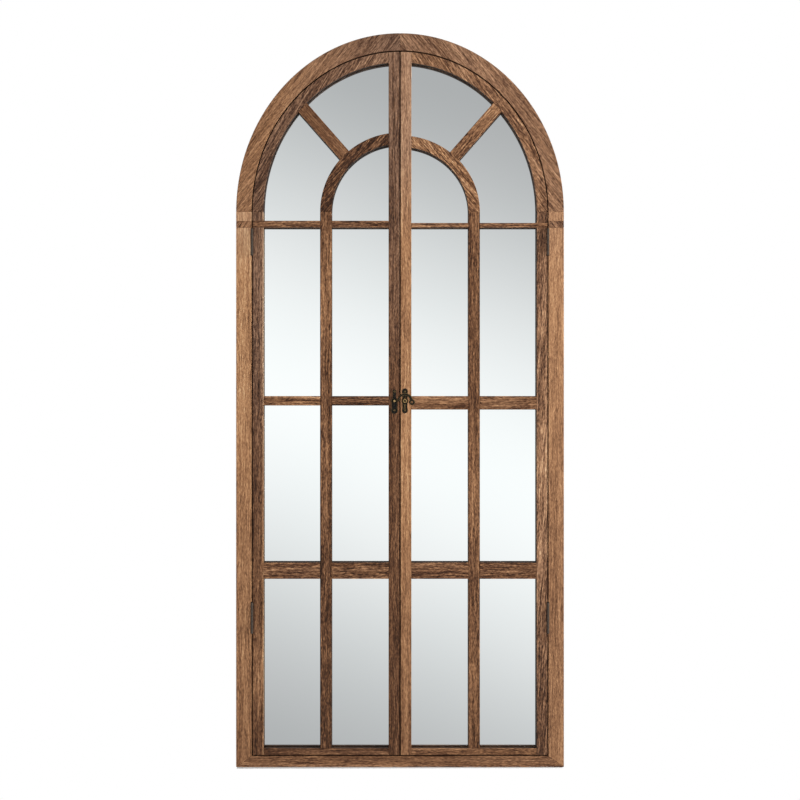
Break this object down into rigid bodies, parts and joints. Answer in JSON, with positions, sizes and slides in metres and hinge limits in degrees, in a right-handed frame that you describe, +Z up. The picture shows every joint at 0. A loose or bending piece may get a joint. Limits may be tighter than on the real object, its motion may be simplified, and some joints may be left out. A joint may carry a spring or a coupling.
{
  "type": "arched full length mirror",
  "caption": "Arched wooden window mirror: a fixed frame holds the glass, and two hinged lattice leaves with a hook latch close in front of it.",
  "frame": {"origin": "underside of the bottom rail, halfway along it and halfway through the timber frame's depth", "axes": "+X to the right seen from the front, +Y to the back (the wall), +Z up; the leaves open towards -Y"},
  "size_m": [0.804, 0.0381, 1.8],
  "materials": {
    "light_wood": "oiled light tan wood",
    "middle_wood": "oiled mid brown wood",
    "dark_wood": "stained dark brown wood",
    "aged_brass": "aged dark brass",
    "aged_steel": "dark antique steel",
    "mirror_glass": "silvered glass",
    "hardboard": "brown hardboard"
  },
  "bodies": {
    "frame": {"bottom_rail": "middle_wood", "left_jamb": "light_wood", "left_arch_piece": "middle_wood", "left_springing_key": "dark_wood", "right_jamb": "light_wood", "right_arch_piece": "middle_wood", "right_springing_key": "dark_wood", "centre_stop": "dark_wood", "mirror_glass": "mirror_glass", "backing_board": "hardboard", "left_hanger_plate": "aged_steel", "left_hanger_screw_1": "aged_steel", "left_hanger_screw_2": "aged_steel", "right_hanger_plate": "aged_steel", "right_hanger_screw_1": "aged_steel", "right_hanger_screw_2": "aged_steel", "left_upper_frame_hinge_plate": "aged_steel", "left_upper_hinge_pin": "aged_steel", "left_lower_frame_hinge_plate": "aged_steel", "left_lower_hinge_pin": "aged_steel", "right_upper_frame_hinge_plate": "aged_steel", "right_upper_hinge_pin": "aged_steel", "right_lower_frame_hinge_plate": "aged_steel", "right_lower_hinge_pin": "aged_steel"},
    "left_leaf": {"left_hinge_stile": "dark_wood", "left_meeting_stile": "dark_wood", "left_leaf_bottom_rail": "middle_wood", "left_arch_rail": "middle_wood", "left_small_arch": "middle_wood", "left_radial_bar": "middle_wood", "left_muntin": "dark_wood", "left_springing_rail": "middle_wood", "left_lock_rail": "middle_wood", "left_lower_rail": "middle_wood", "left_upper_leaf_hinge_plate": "aged_steel", "left_lower_leaf_hinge_plate": "aged_steel", "keeper_plate": "aged_brass", "keeper_catch": "aged_brass", "keeper_plate_screw_1": "aged_brass", "keeper_plate_screw_2": "aged_brass"},
    "right_leaf": {"right_hinge_stile": "dark_wood", "right_meeting_stile": "light_wood", "right_leaf_bottom_rail": "middle_wood", "right_arch_rail": "middle_wood", "right_small_arch": "middle_wood", "right_radial_bar": "middle_wood", "right_muntin": "dark_wood", "right_springing_rail": "middle_wood", "right_lock_rail": "middle_wood", "right_lower_rail": "middle_wood", "right_upper_leaf_hinge_plate": "aged_steel", "right_lower_leaf_hinge_plate": "aged_steel", "hook_plate": "aged_brass", "hook_pivot": "aged_brass", "hook_plate_screw_1": "aged_brass", "hook_plate_screw_2": "aged_brass"},
    "latch_hook": {"latch_hook": "aged_brass"}
  },
  "joints": [
    {"name": "left_leaf_hinge", "type": "hinge", "parent": "frame", "child": "left_leaf", "pos_m": [-0.36275, -0.01585, 0.9], "axis": [0, 0, -1], "range_deg": [0, 180]},
    {"name": "right_leaf_hinge", "type": "hinge", "parent": "frame", "child": "right_leaf", "pos_m": [0.36275, -0.01585, 0.9], "axis": [0, 0, 1], "range_deg": [0, 180]},
    {"name": "latch_hook_swing", "type": "hinge", "parent": "right_leaf", "child": "latch_hook", "pos_m": [0.0121, -0.0166, 0.898], "axis": [0, 1, 0], "range_deg": [0, 90]}
  ]
}
